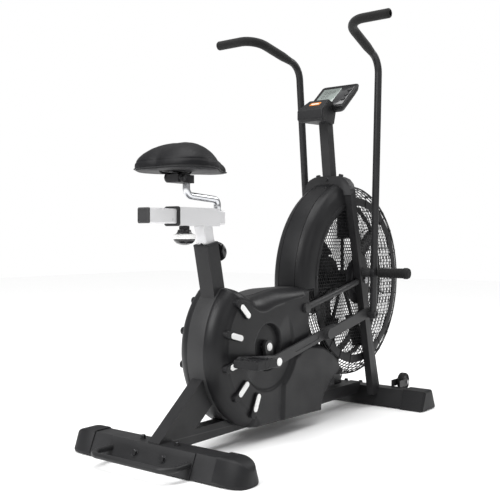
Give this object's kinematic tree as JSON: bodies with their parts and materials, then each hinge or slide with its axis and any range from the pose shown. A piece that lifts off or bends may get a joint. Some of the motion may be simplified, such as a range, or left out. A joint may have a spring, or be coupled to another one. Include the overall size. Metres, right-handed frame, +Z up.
{
  "type": "air bike",
  "caption": "Stationary bike with a caged air fan in front, pedals linked to swinging hand arms, a wide saddle on a sliding post, foot pegs and a small console on a mast.",
  "frame": {"origin": "on the floor, on the centre plane, midway between the rear end of the lift loop and the front edge of the fan cage", "axes": "+X forward from the saddle to the fan, +Y to the rider's left, +Z up"},
  "size_m": [1.4043, 0.614, 1.3208],
  "materials": {
    "frame_black": "satin",
    "dark_steel": "satin",
    "casing_plastic": "satin",
    "spine_plastic": "satin",
    "black_plastic": "fine grain",
    "gloss_black": "gloss",
    "white_plastic": "gloss",
    "silver_tube": "satin",
    "steel": "satin",
    "chrome": "polished",
    "rubber": "matt",
    "foam": "matt foam",
    "seat_leather": "fine grain",
    "screen_glass": "gloss"
  },
  "bodies": {
    "base": {"main_frame": "frame_black", "rear_stabilizer": "frame_black", "front_stabilizer": "frame_black", "rear_end_caps": "black_plastic", "front_end_caps": "black_plastic", "lift_loop": "frame_black", "base_bolts": "steel", "front_fork": "frame_black", "mast": "frame_black", "right_stay": "dark_steel", "left_stay": "dark_steel", "right_cover": "casing_plastic", "left_cover": "casing_plastic", "spine_cover": "spine_plastic", "right_cover_accents": "white_plastic", "left_cover_accents": "white_plastic", "fan_shroud": "casing_plastic", "right_cage": "frame_black", "left_cage": "frame_black", "fan_axle": "steel", "drive_belt": "rubber", "crank_bearings": "steel", "right_foot_peg": "rubber", "left_foot_peg": "rubber", "arm_bushes": "black_plastic", "seat_bushing": "black_plastic", "console_housing": "black_plastic", "console_screen": "screen_glass", "wheel_axles": "steel"},
    "fan": {"fan_wheel": "black_plastic", "fan_bearings": "steel", "fan_pulley": "steel"},
    "crank": {"crank_spindle": "steel", "crank_pulley": "black_plastic", "crank_webs": "dark_steel", "right_crank_arm": "dark_steel", "left_crank_arm": "dark_steel", "crank_pins": "steel", "pedal_spindles": "steel", "crank_caps": "white_plastic"},
    "pedal_right": {"right_pedal": "black_plastic"},
    "pedal_left": {"left_pedal": "black_plastic"},
    "link_right": {"right_link": "dark_steel"},
    "link_left": {"left_link": "dark_steel"},
    "arm_right": {"right_arm": "frame_black", "right_arm_grip": "foam"},
    "arm_left": {"left_arm": "frame_black", "left_arm_grip": "foam"},
    "post": {"seat_post": "silver_tube"},
    "seat": {"saddle": "seat_leather", "seat_slider": "silver_tube", "saddle_pin": "chrome", "saddle_clamp": "black_plastic"},
    "knob_height": {"height_knob": "gloss_black"},
    "knob_slider": {"slider_knob": "gloss_black"},
    "key_1": {"console_button_1": "black_plastic"},
    "key_2": {"console_button_2": "black_plastic"},
    "key_3": {"console_button_3": "black_plastic"},
    "wheel_right": {"right_wheel": "rubber"},
    "wheel_left": {"left_wheel": "rubber"}
  },
  "joints": [
    {"name": "crank_spin", "type": "hinge", "parent": "base", "child": "crank", "pos_m": [-0.188, 0, 0.28], "axis": [0, 1, 0], "continuous": true},
    {"name": "fan_spin", "type": "hinge", "parent": "base", "child": "fan", "pos_m": [0.368, 0, 0.455], "axis": [0, 1, 0], "continuous": true},
    {"name": "right_pedal_spin", "type": "hinge", "parent": "crank", "child": "pedal_right", "pos_m": [-0.36184, -0.1565, 0.25989], "axis": [0, 1, 0], "continuous": true},
    {"name": "left_pedal_spin", "type": "hinge", "parent": "crank", "child": "pedal_left", "pos_m": [-0.01416, 0.1565, 0.30011], "axis": [0, 1, 0], "continuous": true},
    {"name": "right_link_turn", "type": "hinge", "parent": "crank", "child": "link_right", "pos_m": [-0.1809, -0.094, 0.23759], "axis": [0, 1, 0], "continuous": true},
    {"name": "left_link_turn", "type": "hinge", "parent": "crank", "child": "link_left", "pos_m": [-0.1951, 0.094, 0.32241], "axis": [0, 1, 0], "continuous": true},
    {"name": "right_arm_swing", "type": "hinge", "parent": "base", "child": "arm_right", "pos_m": [0.36, -0.133, 0.483], "axis": [0, 1, 0], "range_deg": [-21, 13]},
    {"name": "left_arm_swing", "type": "hinge", "parent": "base", "child": "arm_left", "pos_m": [0.36, 0.133, 0.483], "axis": [0, 1, 0], "range_deg": [-13, 21]},
    {"name": "seat_height", "type": "slide", "parent": "base", "child": "post", "axis": [-0.2164, 0, 0.9763], "range_m": [-0.04, 0.15]},
    {"name": "saddle_slide", "type": "slide", "parent": "post", "child": "seat", "axis": [1, 0, 0], "range_m": [-0.005, 0.095]},
    {"name": "height_knob_pull", "type": "slide", "parent": "base", "child": "knob_height", "axis": [0.9763, 0, 0.2164], "range_m": [0, 0.008]},
    {"name": "slider_knob_pull", "type": "slide", "parent": "post", "child": "knob_slider", "axis": [0, 0, -1], "range_m": [0, 0.008]},
    {"name": "key_1_press", "type": "slide", "parent": "base", "child": "key_1", "axis": [0.6428, 0, -0.766], "range_m": [0, 0.0012]},
    {"name": "key_2_press", "type": "slide", "parent": "base", "child": "key_2", "axis": [0.6428, 0, -0.766], "range_m": [0, 0.0012]},
    {"name": "key_3_press", "type": "slide", "parent": "base", "child": "key_3", "axis": [0.6428, 0, -0.766], "range_m": [0, 0.0012]},
    {"name": "right_wheel_spin", "type": "hinge", "parent": "base", "child": "wheel_right", "pos_m": [0.566, -0.143, 0.076], "axis": [0, 1, 0], "continuous": true},
    {"name": "left_wheel_spin", "type": "hinge", "parent": "base", "child": "wheel_left", "pos_m": [0.566, 0.143, 0.076], "axis": [0, 1, 0], "continuous": true}
  ],
  "couplings": [
    {"joint": "fan_spin", "follows": "crank_spin", "ratio": 4.3182},
    {"joint": "right_link_turn", "follows": "crank_spin", "ratio": -1},
    {"joint": "left_link_turn", "follows": "crank_spin", "ratio": -1},
    {"joint": "left_arm_swing", "follows": "right_arm_swing", "ratio": -1}
  ]
}
